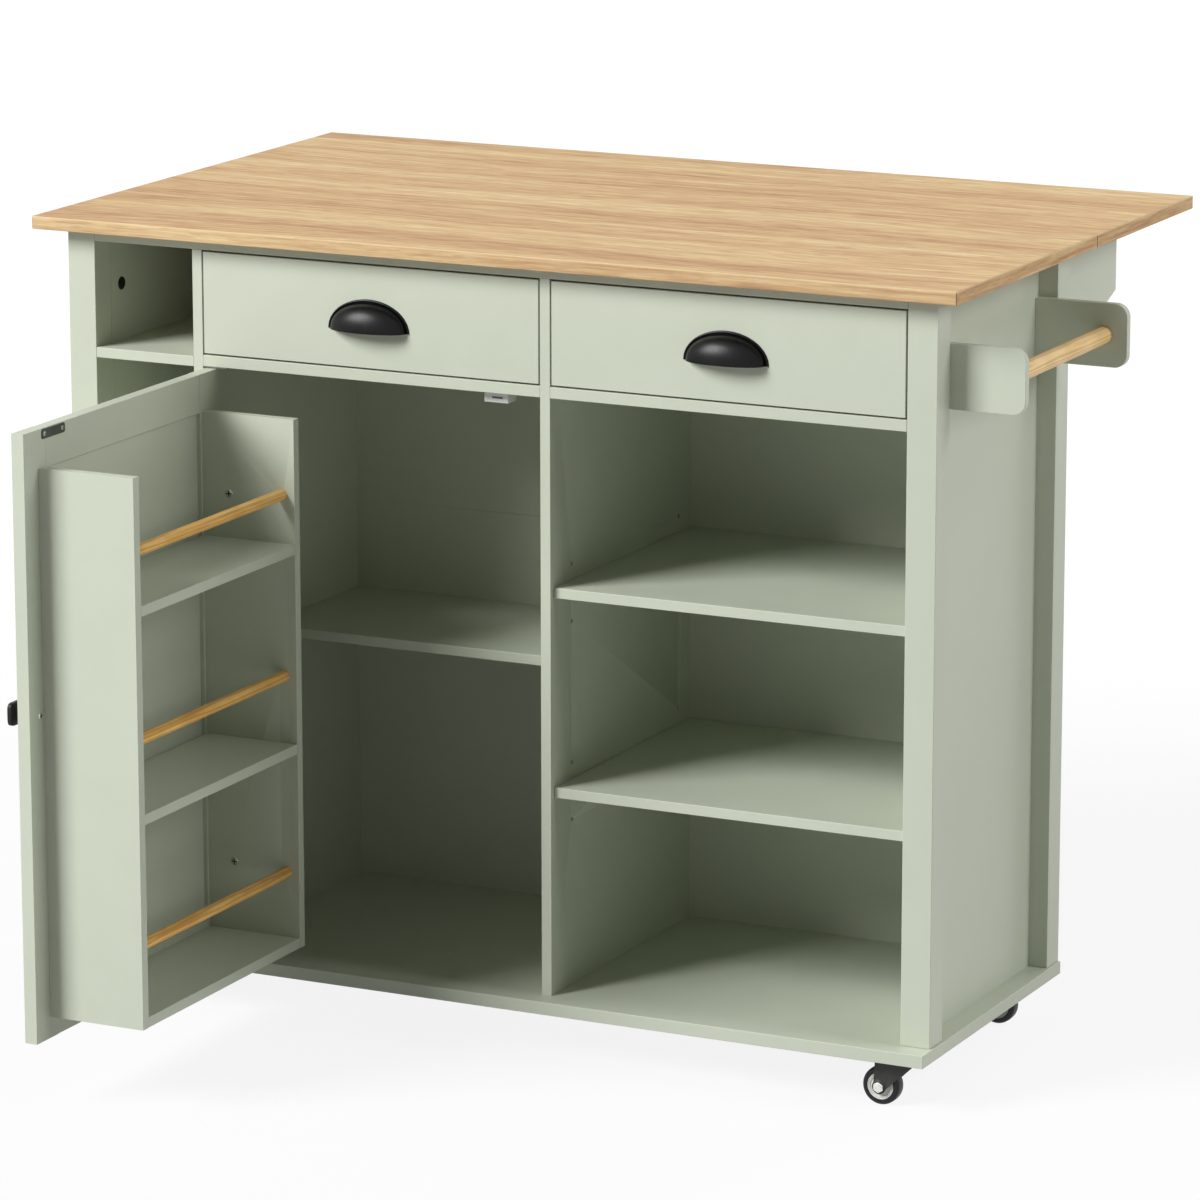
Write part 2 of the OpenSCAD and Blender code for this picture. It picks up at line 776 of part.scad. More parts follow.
// Screw heads on the rack, the strike plate and the back of the knob.
module door_screws() {
  y_in = yf + door_t;
  color(steel) swung() {
    for (z = [dowel_zs[0] + rack_screw_off, dowel_zs[2] - rack_screw_off]) {
      rod_x(rack_x0 + rack_t, rack_y0 + rack_screw_in, z, screw_r, screw_h);
      rod_x(rack_x0 + rack_w - rack_t - screw_h, rack_y0 + rack_screw_in, z, screw_r, screw_h);
    }
    for (s = [-1, 1])
      rod_y(strike_x + s * (strike_l - strike_h) / 2, y_in + strike_t, strike_z,
            strike_screw_r, strike_screw_h);
    rod_y(knob_x, y_in, knob_z, screw_r, screw_h);
  }
}

// ---- drawers ----

module drawer_front(x) {
  color(sage) board(x + drawer_gap, yf, drawer_z, drawer_w, drawer_front_t, drawer_h);
}

module drawer_box(x) {
  y = yf + drawer_front_t;
  x0 = x + runner_gap;
  inner = box_w - 2 * drawer_side_t;
  color("#d9dccf") {
    board(x0, y, box_z, drawer_side_t, drawer_l, drawer_side_h);
    board(x0 + box_w - drawer_side_t, y, box_z, drawer_side_t, drawer_l, drawer_side_h);
    board(x0 + drawer_side_t, y + drawer_l - drawer_side_t, box_z, inner, drawer_side_t,
          drawer_side_h);
    board(x0 + drawer_side_t, y, box_z + drawer_bottom_up, inner, drawer_l - drawer_side_t,
          drawer_bottom_t);
  }
}

// Half an ellipse standing on its flat edge, from the wall's face towards the front.
module half_disc(w, h, t) {
  intersection() {
    scale([w / 2, 1, h]) rotate([90, 0, 0]) cylinder(r = 1, h = t, $fn = 64);
    board(-w, -t - 1, 0, 2 * w, t + 2, h + 1);
  }
}

// A quarter of an egg shape, from the wall's face towards the front.
module quarter_egg(w, d, h) {
  intersection() {
    scale([w / 2, d, h]) sphere(r = 1, $fn = 64);
    board(-w, -d - 1, 0, 2 * w, d + 1, h + 1);
  }
}

// A cup open below, with a thin rim that lies on the drawer front.
module cup_pull(x) {
  w = pull_w - 2 * pull_flange;
  h = pull_h - pull_flange;
  color(black) translate([x + bay_w / 2, yf, drawer_z + (drawer_h - pull_h) / 2]) difference() {
    union() {
      quarter_egg(w, pull_d, h);
      half_disc(pull_w, pull_h, pull_t);
    }
    translate([0, 0, -0.01])
      quarter_egg(w - 2 * pull_t, pull_d - pull_t, h - pull_t);
    translate([0, 0.01, -0.01])
      half_disc(w - 2 * pull_t, h - pull_t, pull_t);
  }
}

module runner_fixed(x, dir) {
  y = yf + drawer_front_t + runner_in;
  x0 = dir > 0 ? x : x - (runner_gap - runner_t);
  w = runner_gap - runner_t;
  difference() {
    board(x0, y, runner_z, w, drawer_l - 2 * runner_in, runner_h);
    board(dir > 0 ? x0 + runner_t : x0 - 1, y - 1, runner_z + runner_t, w - runner_t + 1,
          drawer_l, runner_h - 2 * runner_t);
  }
}

module runner_moving(x, dir) {
  y = yf + drawer_front_t + runner_in;
  z = runner_z + runner_t + runner_play;
  h = runner_h - 2 * (runner_t + runner_play);
  w = rail_inner_t;
  x0 = dir > 0 ? x + runner_gap - w : x - runner_gap;
  difference() {
    board(x0, y, z, w, drawer_l - 2 * runner_in, h);
    board(dir > 0 ? x0 - 1 : x0 + runner_t, y - 1, z + runner_t, w - runner_t + 1, drawer_l,
          h - 2 * runner_t);
  }
}

module cabinet_runners() {
  color(steel) for (x = [bay1_x, bay2_x]) {
    runner_fixed(x, 1);
    runner_fixed(x + bay_w, -1);
  }
}

module drawer_runners(x) {
  color(steel) {
    runner_moving(x, 1);
    runner_moving(x + bay_w, -1);
  }
}

// ---- casters, at rest with every wheel trailing to the left ----

module caster_plates() {
  w = caster_plate - 1;
  color(black) for (p = swivels) translate([p[0], p[1], caster_h - caster_plate_t])
    difference() {
      translate([-caster_plate / 2, -w / 2, 0]) cube([caster_plate, w, caster_plate_t]);
      translate([0, 0, -1])
        cylinder(r = rivet_r + rivet_play, h = caster_plate_t + 2, $fn = 48);
    }
}

fork_l = caster_trail + cheek_back + cheek_front;

// The fork's cheek seen from the front: wide on top and round at the axle.
module cheek() {
  linear_extrude(fork_t) difference() {
    hull() {
      translate([-caster_trail, axle_z]) circle(r = cheek_foot_r, $fn = 32);
      translate([-caster_trail - cheek_back, fork_top - cheek_head]) square([fork_l, cheek_head]);
    }
    translate([-caster_trail, axle_z]) circle(r = axle_r + axle_play, $fn = 32);
  }
}

module fork(n) {
  rise = caster_h - fork_top;
  color(black) translate([swivels[n][0], swivels[n][1], 0]) {
    for (y = [-fork_w / 2 + fork_t, fork_w / 2]) translate([0, y, 0]) rotate([90, 0, 0]) cheek();
    translate([-caster_trail - cheek_back, -fork_w / 2, fork_top - fork_t])
      cube([fork_l, fork_w, fork_t]);
    translate([0, 0, fork_top - 0.01])
      cylinder(r = swivel_r, h = swivel_gap - swivel_play + 0.01, $fn = 64);
    translate([0, 0, fork_top - 0.01])
      cylinder(r = rivet_r, h = rise - swivel_play + 0.01, $fn = 48);
  }
}

// A hexagon bolt through both cheeks, with a nut behind.
module axle(n) {
  color(steel) translate([swivels[n][0] - caster_trail, swivels[n][1], axle_z]) {
    rod_y(0, -fork_w / 2 - 0.01, 0, axle_r, fork_w + 0.02);
    for (y = [-fork_w / 2, fork_w / 2 + bolt_h])
      translate([0, y, 0]) rotate([90, 0, 0]) cylinder(r = bolt_r, h = bolt_h, $fn = 6);
  }
}

// Half of the wheel's outline, from the boss outwards to the middle of the tread.
function wheel_side(s, w) = [
  [axle_r + axle_play, s * w],
  [boss_r, s * w],
  [boss_r + 0.5, s * (w - hub_dish)],
  [hub_r - 0.7, s * (w - hub_dish)],
  [hub_r, s * (w - 0.4)],
  [wheel_r - tyre_round, s * (w - 0.4)],
  [wheel_r - tyre_round * 0.3, s * (w - 0.4 - tyre_round * 0.3)],
  [wheel_r, s * (w - 0.4 - tyre_round)]
];

module wheel(n) {
  rear = wheel_side(1, wheel_w / 2);
  outline = concat(wheel_side(-1, wheel_w / 2), [for (i = [len(rear) - 1 : -1 : 0]) rear[i]]);
  color(black) translate([swivels[n][0] - caster_trail, swivels[n][1], axle_z])
    rotate([90, 0, 0]) rotate_extrude($fn = 96) polygon(outline);
}

placed() worktop();
placed() top_rail_front();
placed() top_rail_rear();
placed() post(-1, yf);  // post_front_left
placed() post(1, yf);  // post_front_right
placed() post(-1, yr - post_s);  // post_rear_left
placed() post(1, yr - post_s);  // post_rear_right
placed() side_panel(-1);  // side_panel_left
placed() side_panel(1);  // side_panel_right
placed() divider(div1_x, true, false);  // divider_left
placed() divider(div2_x, false, true);  // divider_middle
placed() drawer_rails();
placed() back_boards();
placed() base_board();
placed() column_shelves();
placed() bay_shelf();
placed() open_shelves();
placed() shelf_pins();
placed() cam_covers();
placed() door_catch();
placed() door_pivot_plates();
placed() cabinet_runners();
placed() towel_plates();
placed() towel_bar();
placed() caster_plates();
placed() leaf_hinge_plates();
placed() drop_leaf();
placed() leaf_hinge_leaves();
placed() support_hinges();
placed() support(1);  // support_right
placed() support(-1);  // support_left
placed() door_stiles();
placed() door_rails();
placed() door_panel();
placed() rack_sides();
placed() rack_shelves();
placed() rack_dowels();
placed() door_knob();
placed() strike_plate();
placed() door_screws();
placed() drawer_front(bay1_x);  // drawer_left_front
placed() drawer_box(bay1_x);  // drawer_left_box
placed() cup_pull(bay1_x);  // drawer_left_pull
placed() drawer_runners(bay1_x);  // drawer_left_runners
placed() drawer_front(bay2_x);  // drawer_right_front
placed() drawer_box(bay2_x);  // drawer_right_box
placed() cup_pull(bay2_x);  // drawer_right_pull
placed() drawer_runners(bay2_x);  // drawer_right_runners
placed() fork(0);  // fork_front_left
placed() fork(1);  // fork_front_right
placed() fork(2);  // fork_rear_left
placed() fork(3);  // fork_rear_right
placed() axle(0);  // axle_front_left
placed() axle(1);  // axle_front_right
placed() axle(2);  // axle_rear_left
placed() axle(3);  // axle_rear_right
placed() wheel(0);  // wheel_front_left
placed() wheel(1);  // wheel_front_right
placed() wheel(2);  // wheel_rear_left
placed() wheel(3);  // wheel_rear_right
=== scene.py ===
import json
import math

import bmesh
import bpy
import numpy as np
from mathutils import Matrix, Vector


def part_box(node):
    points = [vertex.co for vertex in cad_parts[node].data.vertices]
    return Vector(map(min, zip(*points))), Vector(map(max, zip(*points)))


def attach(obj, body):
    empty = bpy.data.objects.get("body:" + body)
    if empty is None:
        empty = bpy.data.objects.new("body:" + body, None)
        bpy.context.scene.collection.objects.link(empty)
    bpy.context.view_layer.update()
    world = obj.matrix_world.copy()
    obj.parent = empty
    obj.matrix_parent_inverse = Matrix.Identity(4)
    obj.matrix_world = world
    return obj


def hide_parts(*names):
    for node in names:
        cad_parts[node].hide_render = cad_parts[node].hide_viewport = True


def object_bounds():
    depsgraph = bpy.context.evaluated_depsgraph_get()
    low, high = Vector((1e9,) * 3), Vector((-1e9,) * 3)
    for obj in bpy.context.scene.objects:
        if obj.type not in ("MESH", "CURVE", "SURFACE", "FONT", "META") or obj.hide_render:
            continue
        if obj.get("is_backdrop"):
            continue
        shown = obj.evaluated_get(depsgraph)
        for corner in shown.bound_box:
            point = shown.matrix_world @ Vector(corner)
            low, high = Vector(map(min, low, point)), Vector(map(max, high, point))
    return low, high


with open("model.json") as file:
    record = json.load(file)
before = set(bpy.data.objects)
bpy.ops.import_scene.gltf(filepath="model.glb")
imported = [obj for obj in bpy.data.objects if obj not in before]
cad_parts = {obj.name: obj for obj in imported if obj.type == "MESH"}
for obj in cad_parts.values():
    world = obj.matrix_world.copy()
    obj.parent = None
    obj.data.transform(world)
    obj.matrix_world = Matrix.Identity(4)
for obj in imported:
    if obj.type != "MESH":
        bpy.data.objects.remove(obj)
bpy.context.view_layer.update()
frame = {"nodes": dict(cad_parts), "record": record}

MM = 0.001


# ---------------------------------------------------------------- shader expressions


class Signal:
    """A shader socket that can stand in a Python expression; each operation adds a Math node."""

    def __init__(self, recipe, socket):
        self.recipe, self.socket = recipe, socket

    def math(self, operation, *values):
        """A Math node that takes this signal first."""
        sockets = dict(enumerate((self, *values)))
        return self.recipe.node("ShaderNodeMath", {"operation": operation}, sockets)

    def __add__(self, other):
        return self.math("ADD", other)

    def __sub__(self, other):
        return self.math("SUBTRACT", other)

    def __rsub__(self, other):
        return (self * -1.0) + other

    def __mul__(self, other):
        return self.math("MULTIPLY", other)

    def __pow__(self, other):
        return self.math("POWER", other)

    __radd__, __rmul__ = __add__, __mul__

    def sine(self):
        return self.math("SINE")

    def ramp(self, low, high, to_low=0.0, to_high=1.0):
        """Runs smoothly from to_low to to_high as the value goes from low to high."""
        return self.recipe.node(
            "ShaderNodeMapRange",
            {"interpolation_type": "SMOOTHSTEP"},
            {"Value": self, "From Min": low, "From Max": high, "To Min": to_low, "To Max": to_high},
        )


class Recipe:
    """A material, or the world, under construction."""

    def __init__(self, name, kind="materials"):
        self.made = getattr(bpy.data, kind).new(name)
        self.made.use_nodes = True
        self.tree = self.made.node_tree
        self.tree.nodes.clear()
        self.place = self.node("ShaderNodeTexCoord", output="Object")

    def node(self, kind, settings=None, sockets=None, output=0):
        """Adds a node and gives one of its outputs. Settings are made before sockets, because some of
        them change the sockets. The setting stops is a colour ramp's (place, colour) pairs."""
        node = self.tree.nodes.new(kind)
        for key, value in (settings or {}).items():
            if key == "stops":
                ramp = node.color_ramp
                while len(ramp.elements) < len(value):
                    ramp.elements.new(0.5)
                for element, (position, colour) in zip(ramp.elements, value):
                    element.position, element.color = position, (*colour, 1.0)
            else:
                setattr(node, key, value)
        for key, value in (sockets or {}).items():
            if isinstance(value, Signal):
                self.tree.links.new(value.socket, node.inputs[key])
            else:
                node.inputs[key].default_value = value
        return Signal(self, node.outputs[output])

    def axes(self):
        """The three coordinates of a place on the object, in metres."""
        return [self.node("ShaderNodeSeparateXYZ", sockets={0: self.place}, output=i) for i in range(3)]

    def noise(self, scale, detail, rough=0.5, vector=None):
        """Soft noise about 0.5. scale is a number per metre, or three numbers for a stretched grain."""
        if isinstance(scale, tuple):
            vector = self.node(
                "ShaderNodeVectorMath", {"operation": "MULTIPLY"}, {0: self.place, 1: scale}
            )
            scale = 1.0
        sockets = {"Vector": vector or self.place, "Scale": scale, "Detail": detail, "Roughness": rough}
        return self.node("ShaderNodeTexNoise", sockets=sockets)

    def grain(self, axes, along, across, detail, rough=0.5):
        """Noise drawn out along the first of three axes: its scales along and across, per metre."""
        run, side, up = axes
        sockets = {0: run * along, 1: side * across, 2: up * across}
        return self.noise(1.0, detail, rough, self.node("ShaderNodeCombineXYZ", sockets=sockets))

    def mix(self, low, high, share):
        """Colour low where share is 0 and colour high where it is 1."""
        # a Mix node keeps its two colours in sockets 6 and 7 and gives a colour at output 2
        colours = {k: v if isinstance(v, Signal) else (*v, 1.0) for k, v in ((6, low), (7, high))}
        return self.node("ShaderNodeMix", {"data_type": "RGBA"}, {0: share, **colours}, 2)

    def bump(self, height, depth):
        """A Bump node: height runs from 0 to 1 and stands for depth, in metres."""
        return self.node("ShaderNodeBump", sockets={"Height": height, "Distance": depth, "Strength": 1.0})

    def finish(self, colour, roughness, normal, metallic=0.0, **constants):
        """Ends the recipe with one Principled shader."""
        sockets = {"Base Color": colour, "Roughness": roughness, "Metallic": metallic, "Normal": normal}
        sockets.update({key.replace("_", " "): value for key, value in constants.items()})
        self.end(self.node("ShaderNodeBsdfPrincipled", sockets=sockets))
        return self.made

    def end(self, shader, kind="ShaderNodeOutputMaterial"):
        """Links a shader to the output node."""
        self.tree.links.new(shader.socket, self.tree.nodes.new(kind).inputs["Surface"])


def srgb(red, green, blue):
    """A colour written as 0 to 255, as linear light."""
    c = np.array([red, green, blue]) / 255
    return tuple(float(v) for v in np.where(c <= 0.04045, c / 12.92, ((c + 0.055) / 1.055) ** 2.4))


def shade(colour, factor):
    """A colour in linear light, made darker or lighter."""
    return tuple(v * factor for v in colour)


# ---------------------------------------------------------------- finishes


OAK_TONES = [
    (0.0, (156, 116, 84)), (0.26, (184, 147, 109)), (0.5, (201, 168, 126)), (0.74, (213, 186, 141)),
    (1.0, (228, 207, 162)),
]
OAK_PORE = srgb(150, 112, 80)
OAK_JOINT_LINE = srgb(84, 60, 42)
# a painted highlight: the colour laid along the top corner of the worktop's edging
OAK_PAINTED_HIGHLIGHT = srgb(228, 203, 160)
# the worktop's knots: place along and across in metres, and size
KNOTS = [(-0.255, 0.115, 1.0), (0.09, 0.205, 0.45)]
# a knot of size 1 is down to a half 26 mm off along the grain and 6 mm off across it
KNOT_ALONG, KNOT_ACROSS = 1500.0, 26000.0


def sprayed_paint(name, low, high, rough=0.42, peel=0.02 * MM):
    """Satin spray paint: a slow drift of tone, an orange peel about 1 mm wide, and fine dust nibs."""
    r = Recipe(name)
    drift = r.noise(2.3, 2)
    cloud = r.noise(21.0, 3)
    skin = r.noise(950.0, 2)
    nibs = r.noise(420.0, 1).ramp(0.72, 0.8)
    tone = (drift * 0.7 + cloud * 0.3).ramp(0.32, 0.68)
    roughness = cloud * 0.06 + skin * 0.06 + (rough - 0.06)
    height = skin * 0.8 + nibs * 0.5 + cloud * 0.3
    return r.finish(r.mix(low, high, tone), roughness, r.bump(height, peel), IOR=1.37)


def oak_laminate(name, tint, along=0, joints=(), rim=None, cut=1.0):
    """Oak laminate along x, or along y where along is 1: long soft bands, wavy figure lines, fine
    fibres, dark pore dashes and two knots. joints are the places along the board where its edging is
    joined, a dark line each. rim is the height of the board's top; just below it the edging gets a thin
    painted highlight, a lighter line where its rounded corner would catch the light. cut is how much
    closer the growth lines lie down the edge than across the top."""
    r = Recipe(name)
    x, y, z = r.axes()
    if along == 1:
        x, y = y, x
    down = z * cut
    # the growth lines wander: the grain's cross axis is pushed aside by slow noise
    drift = r.grain((x, y, down), 1.5, 3.0, 2) - 0.5
    ripple = r.grain((x, y, down), 6.0, 16.0, 2) - 0.5
    across = y + drift * 0.1 + ripple * 0.007
    knots = 0.0
    for knot_x, knot_y, size in KNOTS:
        # a knot pulls the lines apart round itself
        u, v = x - knot_x, y - knot_y
        knot = (u * u * (KNOT_ALONG / size) + v * v * (KNOT_ACROSS / size) + 1.0) ** -1.0
        across = across + knot * v * 1.4
        knots = knot ** 2.0 + knots
    wood = (x, across, down)
    band = r.grain(wood, 0.55, 13.0, 2)
    broad = r.grain(wood, 2.2, 42.0, 3, 0.55)
    figure = (r.grain(wood, 0.42, 7.5, 1, 0.4) * 130.0).sine() * 0.5 + 0.5
    streak = r.grain(wood, 6.0, 170.0, 3, 0.6)
    dash = r.grain(wood, 16.0, 150.0, 2, 0.55)
    vessels = r.grain(wood, 30.0, 240.0, 1).ramp(0.56, 0.74)
    fibre = r.grain(wood, 26.0, 900.0, 2, 0.6)
    pores = r.grain(wood, 60.0, 1300.0, 1).ramp(0.62, 0.72)
    # noise keeps near a half, so each layer is spread out before it takes its share of the tone
    tone = band.ramp(0.34, 0.66) * 0.27 + broad.ramp(0.35, 0.65) * 0.17 + figure * 0.1
    tone = tone + streak.ramp(0.32, 0.68) * 0.18 + dash.ramp(0.34, 0.66) * 0.26 + fibre * 0.06
    stops = [(place, shade(srgb(*colour), tint)) for place, colour in OAK_TONES]
    colour = r.node("ShaderNodeValToRGB", {"stops": stops}, {0: tone})
    colour = r.mix(colour, shade(OAK_PORE, tint), pores * 0.4 + vessels * 0.32)
    colour = r.mix(colour, shade(OAK_PORE, tint), knots * 0.5)
    for joint in joints:
        off = (x - joint).math("ABSOLUTE")
        colour = r.mix(colour, OAK_JOINT_LINE, off.ramp(0.3 * MM, 1.2 * MM, 0.75, 0.0))
    # painted highlight: the top 1.2 mm of the edging, under the board's top, is painted lighter, as if its
    # rounded corner caught the light
    if rim is not None:
        colour = r.mix(colour, OAK_PAINTED_HIGHLIGHT, (z - rim).ramp(-1.9 * MM, -1.2 * MM, 0.0, 0.7))
    roughness = fibre * 0.1 + pores * 0.1 + 0.58
    height = fibre * 0.5 - pores * 0.7 + streak * 0.3
    return r.finish(colour, roughness, r.bump(height, 0.04 * MM), IOR=1.28)


def bare_wood(name, low, high, vein):
    """Bare wood turned along y: growth lines that run nearly parallel to it and show as long dark
    veins, short fine flecks, and a slow drift of tone. vein is how dark the lines get."""
    r = Recipe(name)
    x, y, z = r.axes()
    sway = (r.grain((y, x, z), 6.0, 40.0, 2) - 0.5) * 0.004
    bend = r.grain((y, x, z), 5.0, 50.0, 1) * 7.0
    lines = ((x * 0.8 + z * 0.6 + sway) * 2600.0 + bend).sine() * 0.5 + 0.5
    fleck = r.noise((1500.0, 70.0, 1500.0), 1).ramp(0.6, 0.72)
    cloud = r.noise(17.0, 2).ramp(0.3, 0.7)
    colour = r.mix(low, high, cloud * 0.5 + (1.0 - lines) * 0.5)
    colour = r.mix(colour, shade(low, 0.62), (lines ** 3.0) * vein + fleck * 0.2)
    roughness = lines * 0.08 + fleck * 0.1 + 0.44
    height = lines * -0.5 - fleck * 0.5
    return r.finish(colour, roughness, r.bump(height, 0.05 * MM), IOR=1.35)


def lacquered_metal(name, colour, rough, brush=None, depth=0.03 * MM, ior=1.5, specular=0.5):
    """Dark lacquer on metal. brush gives the scale of the fine lines left by brushing, per axis."""
    r = Recipe(name)
    cloud = r.noise(60.0, 2)
    grit = r.noise(1400.0, 2)
    lines = r.noise(brush, 2, 0.6) if brush else grit
    light = tuple(v * 1.7 + 0.0005 for v in colour)
    tone = (cloud * 0.5 + lines * 0.5).ramp(0.35, 0.65)
    roughness = lines * 0.2 + cloud * 0.08 + (rough - 0.14)
    normal = r.bump(lines * 0.7 + grit * 0.3, depth)
    return r.finish(r.mix(colour, light, tone), roughness, normal, IOR=ior, Specular_IOR_Level=specular)


def plated_steel(name, colour=(0.5, 0.5, 0.5), rough=0.32):
    """Zinc-plated steel: a mottled bright skin with fine scratches."""
    r = Recipe(name)
    spangle = r.noise(240.0, 3)
    lines = r.noise(900.0, 2, 0.6)
    tone = (spangle * 0.6 + lines * 0.4).ramp(0.3, 0.65)
    roughness = spangle * 0.16 + lines * 0.14 + (rough - 0.15)
    return r.finish(r.mix(shade(colour, 0.72), colour, tone), roughness, r.bump(lines, 0.02 * MM), 1.0)


def moulded(name, colour, rough, grain=1100.0, depth=0.03 * MM, ior=1.5):
    """Moulded plastic or rubber with the fine grain of its mould."""
    r = Recipe(name)
    tone = r.noise(45.0, 2)
    skin = r.noise(grain, 2)
    roughness = skin * 0.14 + tone * 0.1 + (rough - 0.12)
    colour = r.mix(shade(colour, 0.9), colour, tone.ramp(0.3, 0.7))
    return r.finish(colour, roughness, r.bump(skin, depth), IOR=ior)


paint = sprayed_paint("sage_satin_paint", srgb(192, 198, 181), srgb(196, 202, 185))
box_paint = sprayed_paint("drawer_box_paint", srgb(185, 192, 174), srgb(190, 197, 179),
                          rough=0.55, peel=0.04 * MM)
low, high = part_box("worktop")
oak_top = oak_laminate("oak_laminate_top", tint=1.05)
oak_edge = oak_laminate("oak_laminate_long_edge", tint=0.99, joints=(low.x, high.x), rim=high.z, cut=2.4)
oak_end = oak_laminate("oak_laminate_end_edge", along=1, tint=1.03, joints=(low.y,), rim=high.z, cut=1.6)
towel_wood = bare_wood("towel_bar_wood", srgb(224, 182, 120), srgb(248, 216, 158), vein=0.34)
dowel_wood = bare_wood("rack_dowel_wood", srgb(216, 160, 84), srgb(250, 206, 126), vein=0.5)
pull_metal = lacquered_metal("pull_black_metal", (0.002, 0.002, 0.0022), 0.33,
                             brush=(1200.0, 400.0, 60.0), depth=0.06 * MM, ior=1.36, specular=0.34)
black_metal = lacquered_metal("fitting_black_metal", (0.008, 0.008, 0.008), 0.4, ior=1.35, specular=0.4)
fork_metal = lacquered_metal("caster_fork_metal", (0.023, 0.024, 0.02), 0.42, ior=1.4)
strike_metal = lacquered_metal("strike_dark_metal", (0.045, 0.05, 0.042), 0.4)
steel = plated_steel("zinc_plated_steel")
screw_sage = plated_steel("rack_screw_dull_head", srgb(178, 184, 168), 0.5)
pivot_metal = plated_steel("pivot_plate_dull_steel", (0.2, 0.2, 0.19), 0.5)
# painted shade: a near-black material for the screws' cross recesses, where shade falls
recess = moulded("screw_cross_shadow", (0.02, 0.021, 0.018), 0.7)
bright_bolt = plated_steel("bright_bolt_steel", (0.86, 0.86, 0.83), 0.3)
catch_plastic = moulded("catch_white_plastic", (0.8, 0.8, 0.78), 0.4)
# painted shade: a dark grey plate stands for the shaded slot in the white catch
slot_painted_shade = moulded("catch_slot_shadow", (0.12, 0.12, 0.12), 0.6)
tyre_rubber = moulded("caster_tyre_rubber", (0.01, 0.0105, 0.012), 0.4,
                      grain=800.0, depth=0.06 * MM, ior=1.36)
hub_plastic = moulded("caster_hub_plastic", (0.76, 0.755, 0.71), 0.45)


# ---------------------------------------------------------------- meshes


SAME_PLACE = 1e-6       # points nearer than this, in metres, are one
SMOOTH = 38.0           # edges sharper than this, in degrees, stay sharp


def clean(mesh, flat=False):
    """Merges doubles, turns faces outward and, where flat, melts the triangles of flat faces."""
    work = bmesh.new()
    work.from_mesh(mesh)
    bmesh.ops.remove_doubles(work, verts=work.verts, dist=SAME_PLACE)
    if flat:
        bmesh.ops.dissolve_limit(work, angle_limit=math.radians(0.4), verts=work.verts, edges=work.edges)
    bmesh.ops.recalc_face_normals(work, faces=work.faces)
    if work.calc_volume(signed=True) < 0:
        bmesh.ops.reverse_faces(work, faces=work.faces)
    work.to_mesh(mesh)
    work.free()


def add_object(name, mesh, materials, smooth=SMOOTH):
    """An object at the origin that shows a finished mesh."""
    mesh.materials.clear()
    for material in materials:
        mesh.materials.append(material)
    mesh.polygons.foreach_set("use_smooth", np.ones(len(mesh.polygons), bool))
    mesh.set_sharp_from_angle(angle=math.radians(smooth))
    made = bpy.data.objects.new(name, mesh)
    bpy.context.scene.collection.objects.link(made)
    return made


def mesh_object(name, points, faces, materials, smooth):
    """An object at the origin from points and faces, its doubles merged and its faces outward."""
    mesh = bpy.data.meshes.new(name)
    mesh.from_pydata(points.tolist(), [], faces)
    clean(mesh)
    return add_object(name, mesh, materials, smooth)


def read_rows(items, what):
    """A vector of each vertex or face of a mesh, one row for each."""
    values = np.zeros(len(items) * 3)
    items.foreach_get(what, values)
    return values.reshape(-1, 3)


def grid_points(x, y, z):
    """The points of a grid from its three coordinates, row by row."""
    return np.stack(np.broadcast_arrays(x, y, z), -1).reshape(-1, 3)


def grid_faces(rows, columns, closed=False, capped=False):
    """Quads between a grid's points, numbered row by row. Closed, the last column joins the first;
    capped, the first and the last row are faces too."""
    i = np.arange(rows - 1)
    j = np.arange(columns if closed else columns - 1)
    i, j = (a.ravel() for a in np.meshgrid(i, j, indexing="ij"))
    here, below, right = i * columns, (i + 1) * columns, (j + 1) % columns
    faces = np.stack([here + j, below + j, below + right, here + right], 1).tolist()
    if capped:
        last = (rows - 1) * columns
        faces += [list(range(columns)), list(range(last, last + columns))]
    return faces


def rings(name, centre, axis, across, beyond, along, materials, smooth=SMOOTH, capped=True):
    """Rings joined each to the next. Row i of the arrays is ring i: along runs down the axis, which is
    one of the object's own, and across and beyond lie on the two that follow it."""
    k = int(np.argmax(np.abs(axis)))
    columns = [None] * 3
    columns[k] = along * float(np.sign(axis[k]))
    columns[(k + 1) % 3], columns[(k + 2) % 3] = across, beyond
    points = grid_points(*columns) + np.asarray(centre)
    return mesh_object(name, points, grid_faces(*across.shape, True, capped), materials, smooth)


def turned(name, centre, axis, profile, materials, steps, power=2.0):
    """A profile of (radius, height) carried round an axis. The ring at each height is
    |u|^n + |v|^n = r^n, a circle at power n = 2 and a square with round corners above it."""
    radius, height = np.asarray(profile, float).T[:, :, None]
    n = np.broadcast_to(power, len(profile))[:, None]
    t = np.linspace(0, 2 * np.pi, steps, endpoint=False)
    c, s = np.cos(t), np.sin(t)
    reach = (np.abs(c) ** n + np.abs(s) ** n) ** (-1 / n)
    return rings(name, centre, axis, radius * reach * c, radius * reach * s, height, materials, capped=False)


def settle(made, body, slot, *nodes):
    """Puts a finished piece on its body and hides the CAD nodes it stands for. Its finish, slot, is not
    used.
    """
    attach(made, body)
    if nodes:
        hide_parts(*nodes)


def soften(made, width, segments, angle=30.0):
    """Rounds the edges of a board or a pressed part that turn by more than angle degrees."""
    bevel = made.modifiers.new("eased_edges", "BEVEL")
    bevel.width, bevel.segments = width, segments
    bevel.limit_method, bevel.angle_limit = "ANGLE", math.radians(angle)
    bevel.harden_normals = True
    bevel.use_clamp_overlap = True


BODY_OF = {n: b for b, names in frame["record"]["behaviour"]["bodies"].items() for n in names}
SLOT_OF = {s["node"]: s["material_slot"] for s in frame["record"]["subparts"]}


